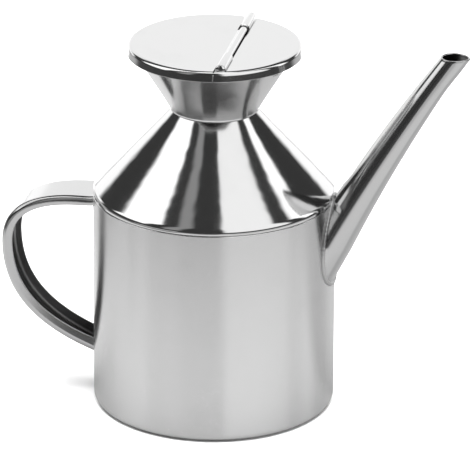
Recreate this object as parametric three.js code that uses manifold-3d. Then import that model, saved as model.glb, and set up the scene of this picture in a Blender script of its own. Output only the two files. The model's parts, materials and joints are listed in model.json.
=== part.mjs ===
// Oil cruet in polished stainless sheet: a drawn cup with a conical shoulder, a flared filling funnel under a
// hinged lid, a long tapered spout and an open channel handle.
// Millimetres, +Z up. The origin is the centre of the flat base, and +X points to the spout.

import * as THREE from "three";
import { mergeVertices } from "three/addons/utils/BufferGeometryUtils.js";
import Module from "manifold-3d";

const wasm = await Module();
wasm.setup();

// Cup
const BODY_DIAMETER = 86;
const BODY_HEIGHT = 78.3;
const BODY_SHEET = 0.7;
const BASE_CORNER_RADIUS = 2.6;

// Conical shoulder, with a skirt inside the cup's wall and an upright collar at the neck
const SHOULDER_SHEET = 0.7;
const SHOULDER_SLOPE = THREE.MathUtils.degToRad(47.4);
const SHOULDER_EDGE_RADIUS = 2.6;
const SHOULDER_LIP_HEIGHT = 0.6;
const SHOULDER_SKIRT_DEPTH = 5;
const NECK_DIAMETER = 30.1;
const NECK_COLLAR_HEIGHT = 2.5;

// Filling funnel, with a rolled rim
const FUNNEL_SHEET = 0.6;
const FUNNEL_HEIGHT = 23.7;
const FUNNEL_COLLAR_HEIGHT = 0.7;
const FUNNEL_MOUTH_DIAMETER = 58.9;
const FUNNEL_BEAD_DIAMETER = 1.5;

// Lid, a flat disc with a rolled hem, parted along the hinge
const LID_SHEET = 0.5;
const LID_HEM_RADIUS = 2;
const LID_HEM_TURN = THREE.MathUtils.degToRad(60);
const LID_SLIT = 0.45;

// Hinge across the lid
const HINGE_OFFSET = 7.5;
const HINGE_RISE = 0.3;
const HINGE_WIRE_DIAMETER = 1.5;
const KNUCKLE_SPACING = 29;
const KNUCKLE_END_MARGIN = 1.5;
const KNUCKLE_END_LENGTH = 3.5;

// Spout, an oval tube that tapers and leans out a little towards its tip
const SPOUT_SHEET = 0.7;
const SPOUT_FOOT_DROP = 13.9;
const SPOUT_FOOT_RISE = THREE.MathUtils.degToRad(63.1);
const SPOUT_TIP_RISE = THREE.MathUtils.degToRad(55.9);
const SPOUT_REACH = 42;
const SPOUT_TIP_ABOVE_LID = 1;
const SPOUT_FOOT_WIDTH = 24;
const SPOUT_FOOT_DEPTH = 14;
const SPOUT_TIP_WIDTH = 9;
const SPOUT_TIP_DEPTH = 8;
const SPOUT_LIP = 0.7;
const SPOUT_LIP_LENGTH = 14;
const SPOUT_LIP_SHARPNESS = 6;
const POUR_PORT_DIAMETER = 13;

// Handle, a channel that is open towards the cup, wide and shallow at its top, narrow and deep at its bottom,
// with sides that lean in a little
const HANDLE_SHEET = 0.8;
const HANDLE_TOP_WIDTH = 18.8;
const HANDLE_BOTTOM_WIDTH = 12.2;
const HANDLE_TOP_DEPTH = 3.2;
const HANDLE_BOTTOM_DEPTH = 4.95;
const HANDLE_SIDE_LEAN = THREE.MathUtils.degToRad(14);
const HANDLE_CORNER_RADIUS = 1.6;
const HANDLE_REACH = 33.1;
const HANDLE_TOP_DROP = 2.4;
const HANDLE_TOP_FALL = 0.7;
const HANDLE_TOP_RUN = 3.2;
const HANDLE_BEND_DROP = 20.7;
const HANDLE_BEND_UP = 23.4;
const HANDLE_BEND_DOWN = 21.7;
const HANDLE_BOTTOM_HEIGHT = 14.9;
const HANDLE_BOTTOM_RUN = 18.9;
const HANDLE_BOTTOM_CLIMB = 7.4;

// Welds
const SPOUT_WELD_WIDTH = 1.6;
const HANDLE_WELD_WIDTH = 1.6;
const TACK_LENGTH = 4;
const TACK_HEIGHT = 0.9;
const TACK_PROUD = 0.3;
const TACK_ANGLE = THREE.MathUtils.degToRad(32);

// Clearances
const NEST_CLEARANCE = 0.1;
const SEAM_GAP = 0.25;
const WELD_GAP = 0.3;
const LID_REST_GAP = 0.1;
const RIM_CLEARANCE = 0.35;
const RIM_RELIEF = 0.3;
const WIRE_CLEARANCE = 0.05;
const KNUCKLE_CLEARANCE = 0.1;
const KNUCKLE_NOTCH_GAP = 0.4;

// Facets
const TURN_STEPS = 64;
const CORNER_STEPS = 5;
const HEM_STEPS = 7;
const BEAD_SIDES = 10;
const HINGE_SIDES = 24;
const SPOUT_SIDES = 28;
const SPOUT_STEPS = 10;
const HANDLE_STEPS = 26;
const HANDLE_CORNER_STEPS = 3;
const MERGE_DISTANCE = 1e-4;

// How far a cutter runs past what it cuts
const OVERCUT = 20;

// Cup and shoulder radii and heights
const bodyRadius = BODY_DIAMETER / 2;
const skirtRadius = bodyRadius - BODY_SHEET - NEST_CLEARANCE;
const lipBottom = BODY_HEIGHT + SEAM_GAP;
const shoulderEdgeHeight = lipBottom + SHOULDER_LIP_HEIGHT;
const neckRadius = NECK_DIAMETER / 2;

// Height of the shoulder's outer cone at a radius
const shoulderHeight = (radius) => {
  const tangentRadius = bodyRadius - SHOULDER_EDGE_RADIUS * (1 - Math.sin(SHOULDER_SLOPE));
  const tangentHeight = shoulderEdgeHeight + SHOULDER_EDGE_RADIUS * Math.cos(SHOULDER_SLOPE);
  return tangentHeight + (tangentRadius - radius) * Math.tan(SHOULDER_SLOPE);
};

// Funnel radii and heights
const funnelCollarInside = neckRadius + NEST_CLEARANCE;
const funnelCollarOutside = funnelCollarInside + FUNNEL_SHEET;
const neckSeat = shoulderHeight(funnelCollarOutside) + SEAM_GAP;
const rimTop = neckSeat + FUNNEL_HEIGHT;
const rimRadius = FUNNEL_MOUTH_DIAMETER / 2;
const rimBeadRadius = FUNNEL_BEAD_DIAMETER / 2;
const rimBead = new THREE.Vector2(rimRadius - rimBeadRadius, rimTop - rimBeadRadius);
const rimInside = rimBead.x - rimBeadRadius - RIM_RELIEF;
const flareFoot = new THREE.Vector2(funnelCollarOutside, neckSeat + FUNNEL_COLLAR_HEIGHT);
const flareLean = Math.atan2(rimBead.x + FUNNEL_SHEET / 2 - flareFoot.x, rimBead.y - flareFoot.y);
const flareSheetAcross = FUNNEL_SHEET / Math.cos(flareLean);

// Lid and hinge radii and heights
const hemInside = LID_HEM_RADIUS - LID_SHEET;
const hemCentreRadius = rimRadius + RIM_CLEARANCE - hemInside * Math.cos(LID_HEM_TURN);
const lidUnderside = rimTop + LID_REST_GAP;
const lidTop = lidUnderside + LID_SHEET;
const hemCentreHeight = lidTop - LID_HEM_RADIUS;
const lidRadius = hemCentreRadius + LID_HEM_RADIUS;
const hingeHeight = lidTop + HINGE_RISE;
const wireRadius = HINGE_WIRE_DIAMETER / 2;
const curlBore = wireRadius + WIRE_CLEARANCE;
const curlRadius = curlBore + LID_SHEET;
const curlEnd = Math.sqrt(rimInside ** 2 - (HINGE_OFFSET + curlRadius) ** 2) - RIM_RELIEF;
const knuckleBore = curlRadius + KNUCKLE_CLEARANCE;
const knuckleRadius = knuckleBore + LID_SHEET;
const knuckleInner = KNUCKLE_SPACING / 2;
const knuckleOuter = Math.sqrt(lidRadius ** 2 - HINGE_OFFSET ** 2) - KNUCKLE_END_MARGIN;
const flapNotch = HINGE_OFFSET - knuckleRadius - KNUCKLE_NOTCH_GAP;

// A solid from a closed geometry, with its shared vertices merged and collapsed triangles dropped
function solidOf(geometry) {
  const bare = geometry.clone();
  bare.deleteAttribute("normal");
  bare.deleteAttribute("uv");
  const merged = mergeVertices(bare, MERGE_DISTANCE);
  const corners = merged.index.array;
  const triangles = [];
  for (let i = 0; i < corners.length; i += 3) {
    const [a, b, c] = [corners[i], corners[i + 1], corners[i + 2]];
    if (a !== b && b !== c && c !== a) triangles.push(a, b, c);
  }
  const vertProperties = new Float32Array(merged.attributes.position.array);
  const triVerts = new Uint32Array(triangles);
  return new wasm.Manifold(new wasm.Mesh({ numProp: 3, vertProperties, triVerts }));
}

function geometryOf(solid) {
  const mesh = solid.getMesh();
  const geometry = new THREE.BufferGeometry();
  geometry.setAttribute("position", new THREE.BufferAttribute(new Float32Array(mesh.vertProperties), 3));
  geometry.setIndex(new THREE.BufferAttribute(new Uint32Array(mesh.triVerts), 1));
  geometry.computeVertexNormals();
  return geometry;
}

// Points of an arc in a plane of radius and height, with angles from the outward direction
function arc(centreRadius, centreHeight, radius, from, to, steps = CORNER_STEPS) {
  const points = [];
  for (let i = 0; i <= steps; i++) {
    const angle = from + ((to - from) * i) / steps;
    points.push([centreRadius + radius * Math.cos(angle), centreHeight + radius * Math.sin(angle)]);
  }
  return points;
}

// A turned solid from an anticlockwise profile of radius and height
function turned(profile) {
  const points = profile.map(([radius, height]) => new THREE.Vector2(radius, height));
  const geometry = new THREE.LatheGeometry(points, TURN_STEPS);
  geometry.rotateX(Math.PI / 2);
  return solidOf(geometry);
}

const closed = (profile) => [...profile, profile[0]];

function boxBetween(low, high) {
  const [width, depth, height] = [0, 1, 2].map((k) => high[k] - low[k]);
  const [x, y, z] = [0, 1, 2].map((k) => (low[k] + high[k]) / 2);
  return new THREE.BoxGeometry(width, depth, height).translate(x, y, z);
}

// A round bar on the hinge line, between two places along Y
function hingeBar(radius, from, to) {
  const bar = new THREE.CylinderGeometry(radius, radius, to - from, HINGE_SIDES);
  return solidOf(bar.translate(HINGE_OFFSET, (from + to) / 2, hingeHeight));
}

// A knuckle on the hinge line, from its flat inner end to its closed, rounded outer end
function knuckle() {
  const side = arc(0, 0, 1, 0, Math.PI / 2).map(([across, on]) => [
    knuckleRadius * across,
    knuckleOuter + KNUCKLE_END_LENGTH * (on - 1),
  ]);
  const upright = turned([[0, knuckleInner], [knuckleRadius, knuckleInner], ...side]);
  return upright.rotate([-90, 0, 0]).translate([HINGE_OFFSET, 0, hingeHeight]);
}

// A closed skin over rings of points, with the same outline triangulated at both ends
function lofted(rings, outline) {
  const count = outline.length;
  const triangles = [];
  for (let ring = 0; ring < rings.length - 1; ring++) {
    for (let k = 0; k < count; k++) {
      const near = ring * count + k;
      const beside = ring * count + ((k + 1) % count);
      triangles.push(near, beside, near + count, beside, beside + count, near + count);
    }
  }
  const last = (rings.length - 1) * count;
  for (const [a, b, c] of THREE.ShapeUtils.triangulateShape(outline, [])) {
    triangles.push(c, b, a, last + a, last + b, last + c);
  }
  const geometry = new THREE.BufferGeometry().setFromPoints(rings.flat());
  geometry.setIndex(triangles);
  return solidOf(geometry);
}

// Stations along a curve in the XZ plane, run on straight past both ends
function stationsOf(curve, steps, before, after) {
  const stations = [];
  for (let i = 0; i <= steps; i++) {
    const along = i / steps;
    stations.push({ along, at: curve.getPointAt(along), way: curve.getTangentAt(along) });
  }
  const first = stations[0];
  const last = stations[steps];
  const back = { ...first, at: first.at.clone().addScaledVector(first.way, -before) };
  const on = { ...last, at: last.at.clone().addScaledVector(last.way, after) };
  return [back, ...stations, on];
}

// A point of a station's section: across along Y, and inward square to the path
function sectionPoint({ at, way }, across, inward) {
  return new THREE.Vector3(at.x - way.z * inward, at.y + across, at.z + way.x * inward);
}

// The rounded edge between the cup's wall and the shoulder's cone, grown by an offset
function shoulderEdge(offset) {
  const centreRadius = bodyRadius - SHOULDER_EDGE_RADIUS;
  const radius = SHOULDER_EDGE_RADIUS + offset;
  return arc(centreRadius, shoulderEdgeHeight, radius, 0, Math.PI / 2 - SHOULDER_SLOPE);
}

// The outside of the cup and shoulder, grown by an offset, to trim what is welded to them
function vesselEnvelope(offset) {
  const apexHeight = shoulderHeight(0) + offset / Math.cos(SHOULDER_SLOPE);
  return turned([[0, 0], [bodyRadius + offset, 0], ...shoulderEdge(offset), [0, apexHeight]]);
}

const spoutFootHeight = BODY_HEIGHT - SPOUT_FOOT_DROP;

function bodyCup() {
  const cornerRadius = bodyRadius - BASE_CORNER_RADIUS;
  const insideRadius = BASE_CORNER_RADIUS - BODY_SHEET;
  const cup = turned([
    [0, 0],
    ...arc(cornerRadius, BASE_CORNER_RADIUS, BASE_CORNER_RADIUS, -Math.PI / 2, 0),
    [bodyRadius, BODY_HEIGHT],
    [bodyRadius - BODY_SHEET, BODY_HEIGHT],
    ...arc(cornerRadius, BASE_CORNER_RADIUS, insideRadius, 0, -Math.PI / 2),
    [0, BODY_SHEET],
  ]);
  const portRadius = POUR_PORT_DIAMETER / 2;
  const port = new THREE.CylinderGeometry(portRadius, portRadius, POUR_PORT_DIAMETER, HINGE_SIDES);
  port.rotateZ(Math.PI / 2).translate(bodyRadius, 0, spoutFootHeight);
  return cup.subtract(solidOf(port));
}

function shoulderCone() {
  const skirtBottom = BODY_HEIGHT - SHOULDER_SKIRT_DEPTH;
  const skirtInside = skirtRadius - SHOULDER_SHEET;
  const collarTop = shoulderHeight(neckRadius) + NECK_COLLAR_HEIGHT;
  const collarInside = neckRadius - SHOULDER_SHEET;
  const sheetDown = SHOULDER_SHEET / Math.cos(SHOULDER_SLOPE);
  return turned(
    closed([
      [skirtInside, skirtBottom],
      [skirtRadius, skirtBottom],
      [skirtRadius, lipBottom],
      [bodyRadius, lipBottom],
      ...shoulderEdge(0),
      [neckRadius, shoulderHeight(neckRadius)],
      [neckRadius, collarTop],
      [collarInside, collarTop],
      [collarInside, shoulderHeight(collarInside) - sheetDown],
      [skirtInside, shoulderHeight(skirtInside) - sheetDown],
    ]),
  );
}

function fillerFunnel() {
  const bevelRise = shoulderHeight(funnelCollarInside) - shoulderHeight(funnelCollarOutside);
  const wall = turned(
    closed([
      [funnelCollarInside, neckSeat + bevelRise],
      [funnelCollarOutside, neckSeat],
      [flareFoot.x, flareFoot.y],
      [rimBead.x + flareSheetAcross / 2, rimBead.y],
      [rimBead.x - flareSheetAcross / 2, rimBead.y],
      [funnelCollarInside, flareFoot.y + bevelRise],
    ]),
  );
  const beadRing = arc(rimBead.x, rimBead.y, rimBeadRadius, 0, 2 * Math.PI, BEAD_SIDES);
  return wall.add(turned(closed(beadRing.slice(0, BEAD_SIDES))));
}

// The whole lid before it is parted along the hinge
function lidDisc() {
  return turned([
    [0, lidUnderside],
    ...arc(hemCentreRadius, hemCentreHeight, hemInside, Math.PI / 2, -LID_HEM_TURN, HEM_STEPS),
    ...arc(hemCentreRadius, hemCentreHeight, LID_HEM_RADIUS, -LID_HEM_TURN, Math.PI / 2, HEM_STEPS),
    [0, lidTop],
  ]);
}

// A cutter through the lid's whole height, between two places along X and two along Y
function lidCutter(fromX, toX, fromY, toY) {
  const low = [fromX, fromY, lidUnderside - OVERCUT];
  const high = [toX, toY, lidTop + OVERCUT];
  return solidOf(boxBetween(low, high));
}

function lidFlap() {
  const far = lidRadius + OVERCUT;
  const rootEdge = HINGE_OFFSET - (curlBore + curlRadius) / 2 + HINGE_RISE / 2;
  const notchInner = knuckleInner - KNUCKLE_NOTCH_GAP;
  return lidDisc()
    .subtract(lidCutter(rootEdge, far, -far, far))
    .subtract(lidCutter(flapNotch, far, notchInner, far))
    .subtract(lidCutter(flapNotch, far, -far, -notchInner))
    .add(hingeBar(curlRadius, -curlEnd, curlEnd))
    .subtract(hingeBar(curlBore, -far, far));
}

function lidFixedPlate() {
  const far = lidRadius + OVERCUT;
  const plateEdge = HINGE_OFFSET + curlRadius + LID_SLIT;
  const rimOutside = rimRadius + RIM_CLEARANCE;
  const rimRelief = turned(
    closed([
      [rimInside, lidUnderside - OVERCUT],
      [rimOutside, lidUnderside - OVERCUT],
      [rimOutside, lidUnderside],
      [rimInside, lidUnderside],
    ]),
  );
  const boreEnd = curlEnd + RIM_CLEARANCE;
  const knuckles = knuckle()
    .add(knuckle().mirror([0, 1, 0]))
    .subtract(rimRelief);
  return lidDisc()
    .subtract(lidCutter(-far, flapNotch + LID_SLIT, -far, far))
    .subtract(lidCutter(-far, plateEdge, -knuckleInner, knuckleInner))
    .add(knuckles)
    .subtract(hingeBar(knuckleBore, -boreEnd, boreEnd));
}

// The spout's middle line, from where it meets the cup's wall to the middle of its mouth
const spoutTipHeight = lidTop + SPOUT_TIP_ABOVE_LID;
const spoutLine = (() => {
  const foot = new THREE.Vector3(bodyRadius, 0, spoutFootHeight);
  const tip = new THREE.Vector3(bodyRadius + SPOUT_REACH, 0, spoutTipHeight);
  const pull = foot.distanceTo(tip) / 3;
  const leave = new THREE.Vector3(Math.cos(SPOUT_FOOT_RISE), 0, Math.sin(SPOUT_FOOT_RISE));
  const arrive = new THREE.Vector3(Math.cos(SPOUT_TIP_RISE), 0, Math.sin(SPOUT_TIP_RISE));
  const nearFoot = foot.clone().addScaledVector(leave, pull);
  const nearTip = tip.clone().addScaledVector(arrive, -pull);
  return new THREE.CubicBezierCurve3(foot, nearFoot, nearTip, tip);
})();
const spoutLength = spoutLine.getLength();

// The spout's oval at one place along it, grown by an offset, with the pouring lip drawn out near the tip
function spoutRing(station, offset) {
  const halfWidth = THREE.MathUtils.lerp(SPOUT_FOOT_WIDTH, SPOUT_TIP_WIDTH, station.along) / 2 + offset;
  const halfDepth = THREE.MathUtils.lerp(SPOUT_FOOT_DEPTH, SPOUT_TIP_DEPTH, station.along) / 2 + offset;
  const toTip = (1 - station.along) * spoutLength;
  const lip = SPOUT_LIP * (1 - THREE.MathUtils.smoothstep(toTip, 0, SPOUT_LIP_LENGTH));
  const ring = [];
  for (let k = 0; k < SPOUT_SIDES; k++) {
    const angle = (2 * Math.PI * k) / SPOUT_SIDES;
    const drawnOut = lip * Math.max(0, -Math.sin(angle)) ** SPOUT_LIP_SHARPNESS;
    ring.push(sectionPoint(station, halfWidth * Math.cos(angle), halfDepth * Math.sin(angle) - drawnOut));
  }
  return ring;
}

function spoutForm(offset) {
  const stations = stationsOf(spoutLine, SPOUT_STEPS, 2 * SPOUT_FOOT_DEPTH, 2 * SPOUT_TIP_DEPTH);
  const outline = [];
  for (let k = 0; k < SPOUT_SIDES; k++) {
    const angle = (2 * Math.PI * k) / SPOUT_SIDES;
    outline.push(new THREE.Vector2(Math.cos(angle), Math.sin(angle)));
  }
  return lofted(stations.map((station) => spoutRing(station, offset)), outline);
}

function spout() {
  const far = bodyRadius + SPOUT_REACH + SPOUT_FOOT_DEPTH + OVERCUT;
  const aboveTip = boxBetween([0, -far, spoutTipHeight], [far, far, spoutTipHeight + far]);
  return spoutForm(0)
    .subtract(spoutForm(-SPOUT_SHEET))
    .subtract(vesselEnvelope(WELD_GAP))
    .subtract(solidOf(aboveTip));
}

function spoutWeld() {
  const outer = WELD_GAP + SPOUT_WELD_WIDTH;
  return vesselEnvelope(outer)
    .subtract(vesselEnvelope(WELD_GAP))
    .intersect(spoutForm(outer))
    .subtract(spoutForm(WELD_GAP));
}

// The outer face of the handle, from its upper end out to the bend and back to its lower end
const handleTopHeight = BODY_HEIGHT - HANDLE_TOP_DROP;
const handleBendHeight = handleTopHeight - HANDLE_BEND_DROP;
const handleLine = (() => {
  const outX = -bodyRadius - HANDLE_REACH;
  const point = (x, z) => new THREE.Vector3(x, 0, z);
  const bend = point(outX, handleBendHeight);
  const upper = new THREE.CubicBezierCurve3(
    point(-bodyRadius, handleTopHeight),
    point(-bodyRadius - HANDLE_TOP_RUN, handleTopHeight - HANDLE_TOP_FALL),
    point(outX, handleBendHeight + HANDLE_BEND_UP),
    bend,
  );
  const lower = new THREE.CubicBezierCurve3(
    bend,
    point(outX, handleBendHeight - HANDLE_BEND_DOWN),
    point(-bodyRadius - HANDLE_BOTTOM_RUN, HANDLE_BOTTOM_HEIGHT + HANDLE_BOTTOM_CLIMB),
    point(-bodyRadius, HANDLE_BOTTOM_HEIGHT),
  );
  const path = new THREE.CurvePath();
  path.add(upper);
  path.add(lower);
  return path;
})();

// A form drawn along the handle, from the section's across and inward points for a half width and a depth
function alongHandle(sectionFor) {
  const sectionAt = (along) => {
    const width = THREE.MathUtils.lerp(HANDLE_TOP_WIDTH, HANDLE_BOTTOM_WIDTH, along);
    const depth = THREE.MathUtils.lerp(HANDLE_TOP_DEPTH, HANDLE_BOTTOM_DEPTH, along);
    return sectionFor(width / 2, depth);
  };
  const stations = stationsOf(handleLine, HANDLE_STEPS, HANDLE_TOP_WIDTH, HANDLE_BOTTOM_WIDTH);
  const rings = stations.map((station) =>
    sectionAt(station.along).map(([across, inward]) => sectionPoint(station, across, inward)),
  );
  const outline = sectionAt(0).map(([across, inward]) => new THREE.Vector2(across, inward));
  return lofted(rings, outline);
}

function handle() {
  const inside = HANDLE_CORNER_RADIUS - HANDLE_SHEET;
  const leanShare = HANDLE_SIDE_LEAN / Math.PI;
  const channel = alongHandle((half, depth) => {
    const corner = half - HANDLE_CORNER_RADIUS;
    const leanIn = (depth - HANDLE_CORNER_RADIUS) * Math.tan(HANDLE_SIDE_LEAN);
    const rimAcross = (radius) => corner + radius / Math.cos(HANDLE_SIDE_LEAN) - leanIn;
    const cornerArc = (side, radius, from, to) =>
      arc(side * corner, HANDLE_CORNER_RADIUS, radius, from * Math.PI, to * Math.PI, HANDLE_CORNER_STEPS);
    return [
      [-rimAcross(HANDLE_CORNER_RADIUS), depth],
      ...cornerArc(-1, HANDLE_CORNER_RADIUS, 1 - leanShare, 1.5),
      ...cornerArc(1, HANDLE_CORNER_RADIUS, 1.5, 2 + leanShare),
      [rimAcross(HANDLE_CORNER_RADIUS), depth],
      [rimAcross(inside), depth],
      ...cornerArc(1, inside, 2 + leanShare, 1.5),
      ...cornerArc(-1, inside, 1.5, 1 - leanShare),
      [-rimAcross(inside), depth],
    ];
  });
  return channel.subtract(vesselEnvelope(WELD_GAP));
}

// A bead under the handle's web where it meets the cup, between two heights
function handleWeld(fromHeight, toHeight) {
  const near = HANDLE_SHEET + WELD_GAP;
  const far = near + HANDLE_WELD_WIDTH;
  const bar = alongHandle((half) => {
    const reach = half - HANDLE_CORNER_RADIUS;
    return [
      [-reach, near],
      [reach, near],
      [reach, far],
      [-reach, far],
    ];
  });
  const out = bodyRadius + HANDLE_REACH + OVERCUT;
  const side = boxBetween([-out, -HANDLE_TOP_WIDTH, fromHeight], [0, HANDLE_TOP_WIDTH, toHeight]);
  return bar
    .intersect(vesselEnvelope(WELD_GAP + HANDLE_WELD_WIDTH))
    .subtract(vesselEnvelope(WELD_GAP))
    .intersect(solidOf(side));
}

// A dab of weld between the funnel's wall and the end of the fixed plate's hem
function lidTack(angle) {
  const hemEndRadius = hemCentreRadius + LID_HEM_RADIUS * Math.cos(LID_HEM_TURN);
  const hemEndHeight = hemCentreHeight - LID_HEM_RADIUS * Math.sin(LID_HEM_TURN);
  const top = hemEndHeight - WELD_GAP;
  const bottom = top - TACK_HEIGHT;
  const wallGap = WELD_GAP / Math.cos(flareLean);
  const wallRadius = (height) => flareFoot.x + (height - flareFoot.y) * Math.tan(flareLean) + wallGap;
  const ring = turned(
    closed([
      [wallRadius(bottom), bottom],
      [hemEndRadius, bottom],
      [hemEndRadius + TACK_PROUD, top],
      [wallRadius(top), top],
    ]),
  );
  const half = TACK_LENGTH / 2;
  const slice = boxBetween([0, -half, 0], [lidRadius + OVERCUT, half, lidTop]);
  return ring.intersect(solidOf(slice.rotateZ(angle)));
}

const steel = (color, roughness) => new THREE.MeshStandardMaterial({ color, roughness, metalness: 1 });

const cruet = new THREE.Group();

function addPiece(name, solid, material) {
  const mesh = new THREE.Mesh(geometryOf(solid), material);
  mesh.name = name;
  cruet.add(mesh);
}

addPiece("body_cup", bodyCup(), steel(0xc9cacb, 0.22));
addPiece("shoulder_cone", shoulderCone(), steel(0xcfd0d1, 0.1));
addPiece("filler_funnel", fillerFunnel(), steel(0xc6c7c8, 0.14));
addPiece("lid_fixed_plate", lidFixedPlate(), steel(0xd2d3d4, 0.12));
addPiece("lid_flap", lidFlap(), steel(0xd2d3d4, 0.12));
addPiece("hinge_wire", hingeBar(wireRadius, -curlEnd, curlEnd), steel(0xb4b5b6, 0.3));
addPiece("spout", spout(), steel(0xc8c9ca, 0.16));
addPiece("spout_weld", spoutWeld(), steel(0xa9a9aa, 0.4));
addPiece("handle", handle(), steel(0xcacbcc, 0.16));
addPiece("handle_weld_upper", handleWeld(handleBendHeight, lidTop), steel(0x9d9d9e, 0.45));
addPiece("handle_weld_lower", handleWeld(0, handleBendHeight), steel(0x9d9d9e, 0.45));
addPiece("lid_tack_front", lidTack(-TACK_ANGLE), steel(0xa0a0a1, 0.4));
addPiece("lid_tack_rear", lidTack(TACK_ANGLE), steel(0xa0a0a1, 0.4));

export default cruet;
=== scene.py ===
"""Oil cruet in polished stainless sheet: cup, shoulder, funnel, hinged lid, spout and channel handle.

Every piece is made around the packed frame, in metres, with +Z up and +X towards the spout.
"""

import json
import math

import bpy
import numpy as np
from mathutils import Matrix, Quaternion, Vector


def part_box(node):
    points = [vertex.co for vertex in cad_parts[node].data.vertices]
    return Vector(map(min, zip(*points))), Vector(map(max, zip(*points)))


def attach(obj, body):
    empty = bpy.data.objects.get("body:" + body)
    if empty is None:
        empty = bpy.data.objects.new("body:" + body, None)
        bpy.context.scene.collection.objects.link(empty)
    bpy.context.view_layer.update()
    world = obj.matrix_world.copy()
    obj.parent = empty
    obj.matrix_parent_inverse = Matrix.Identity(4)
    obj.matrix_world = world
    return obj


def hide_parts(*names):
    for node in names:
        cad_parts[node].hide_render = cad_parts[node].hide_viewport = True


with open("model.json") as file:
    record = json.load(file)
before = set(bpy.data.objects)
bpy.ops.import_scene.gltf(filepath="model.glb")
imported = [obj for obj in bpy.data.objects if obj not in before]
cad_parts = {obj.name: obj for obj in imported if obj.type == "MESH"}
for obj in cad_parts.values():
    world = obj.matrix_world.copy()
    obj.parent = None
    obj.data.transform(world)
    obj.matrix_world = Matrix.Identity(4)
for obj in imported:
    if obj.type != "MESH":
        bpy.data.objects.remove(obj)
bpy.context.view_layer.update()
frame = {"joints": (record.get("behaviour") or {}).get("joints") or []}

bl_info = {
    "name": "Oil Cruet",
    "version": (1, 0, 0),
    "blender": (4, 5, 0),
    "location": "3D View > Sidebar > Cruet",
    "description": "Makes a stainless oil cruet with a hinged lid, a tapered spout and a channel handle",
    "category": "Object",
}

MM = 0.001
CUP_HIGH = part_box("body_cup")[1]
COLLAR_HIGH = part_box("shoulder_cone")[1]
FUNNEL_LOW, FUNNEL_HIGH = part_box("filler_funnel")
WIRE_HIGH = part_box("hinge_wire")[1]
HINGE = Vector(frame["joints"][0]["pos_m"])

# How finely the meshes are divided
TURN_STEPS = 256
CIRCLE_STEPS = 64
ARC_STEP = math.radians(7.5)
LEAST_ARC_STEPS = 4
CURVE_STEPS = 200
FLARE_STEPS = 24
SPOUT_SIDES = 160
SPOUT_STATIONS = 120
SPOUT_LIP_STEPS = 8
HANDLE_STATIONS = 120
BEAD_SIDES = 20
BEAD_STATIONS = 40
HALVINGS = 50
MERGE_DISTANCE = 1e-6
SHARP_ANGLE = math.radians(35)

# The close point beside a fillet, and how far a cutting piece runs on
SUPPORT = 0.12 * MM
OVERCUT = 5 * MM

# The hinge line above the lid's top, the room inside the funnel's rim, and the tongue's hold in its tube
HINGE_RISE = 0.3 * MM
RIM_RELIEF = 0.3 * MM
ROOT_SINK = 0.02 * MM

# The spout's foot in the cup's sheet, as a share of the sheet, and the power that narrows the pouring lip
FOOT_SINK = 0.4
LIP_POWER = 6


def length(name, description, default):
    return bpy.props.FloatProperty(
        name=name, description=description, default=default, min=0.0, unit="LENGTH", precision=5
    )


def turn(name, description, degrees):
    return bpy.props.FloatProperty(
        name=name, description=description, default=math.radians(degrees), subtype="ANGLE"
    )


def share(name, description, default):
    return bpy.props.FloatProperty(
        name=name, description=description, default=default, min=0.0, max=1.0, subtype="FACTOR"
    )


def amount(name, description, default):
    return bpy.props.FloatProperty(name=name, description=description, default=default, min=0.0)


def tone(name, description, grey):
    return bpy.props.FloatVectorProperty(
        name=name, description=description, default=(grey,) * 3, size=3, min=0.0, max=1.0, subtype="COLOR"
    )


class VesselSizes(bpy.types.PropertyGroup):
    """Sizes of the cup, its shoulder and the funnel."""

    cup_radius: length("Cup radius", "Outside radius of the cup", CUP_HIGH.x)
    cup_height: length("Cup height", "Height of the cup's upper edge", CUP_HIGH.z)
    cup_sheet: length("Cup sheet", "Thickness of the cup's wall", 0.7 * MM)
    base_corner: length("Base corner", "Radius between the wall and the base", 2.6 * MM)
    port_radius: length("Pour port", "Radius of the hole behind the spout", 6.5 * MM)
    seam_gap: length("Seam", "Open line between the cup and the shoulder", 0.25 * MM)
    seam_lip: length("Lip", "Upright edge of the shoulder above the seam", 0.6 * MM)
    shoulder_sheet: length("Shoulder sheet", "Thickness of the shoulder", 0.7 * MM)
    shoulder_edge: length("Shoulder edge", "Radius between the lip and the cone", 2.6 * MM)
    shoulder_slope: turn("Shoulder slope", "Slope of the cone", 47.4)
    cone_bow: length("Cone bow", "How far the cone is drawn in below the neck", 0.33 * MM)
    skirt_depth: length("Skirt", "Depth of the shoulder's skirt inside the cup", 5 * MM)
    nest_clearance: length("Nesting", "Clearance between sheets that slide together", 0.1 * MM)
    neck_radius: length("Neck radius", "Outside radius of the shoulder's collar", 15.05 * MM)
    funnel_sheet: length("Funnel sheet", "Thickness of the funnel", 0.6 * MM)
    funnel_collar: length("Funnel collar", "Upright foot of the funnel", 0.7 * MM)
    funnel_bead: length("Rim bead", "Radius of the funnel's rolled rim", 0.75 * MM)
    funnel_bow: length("Funnel bow", "How far the flare is drawn in above the neck", 0.15 * MM)


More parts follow.
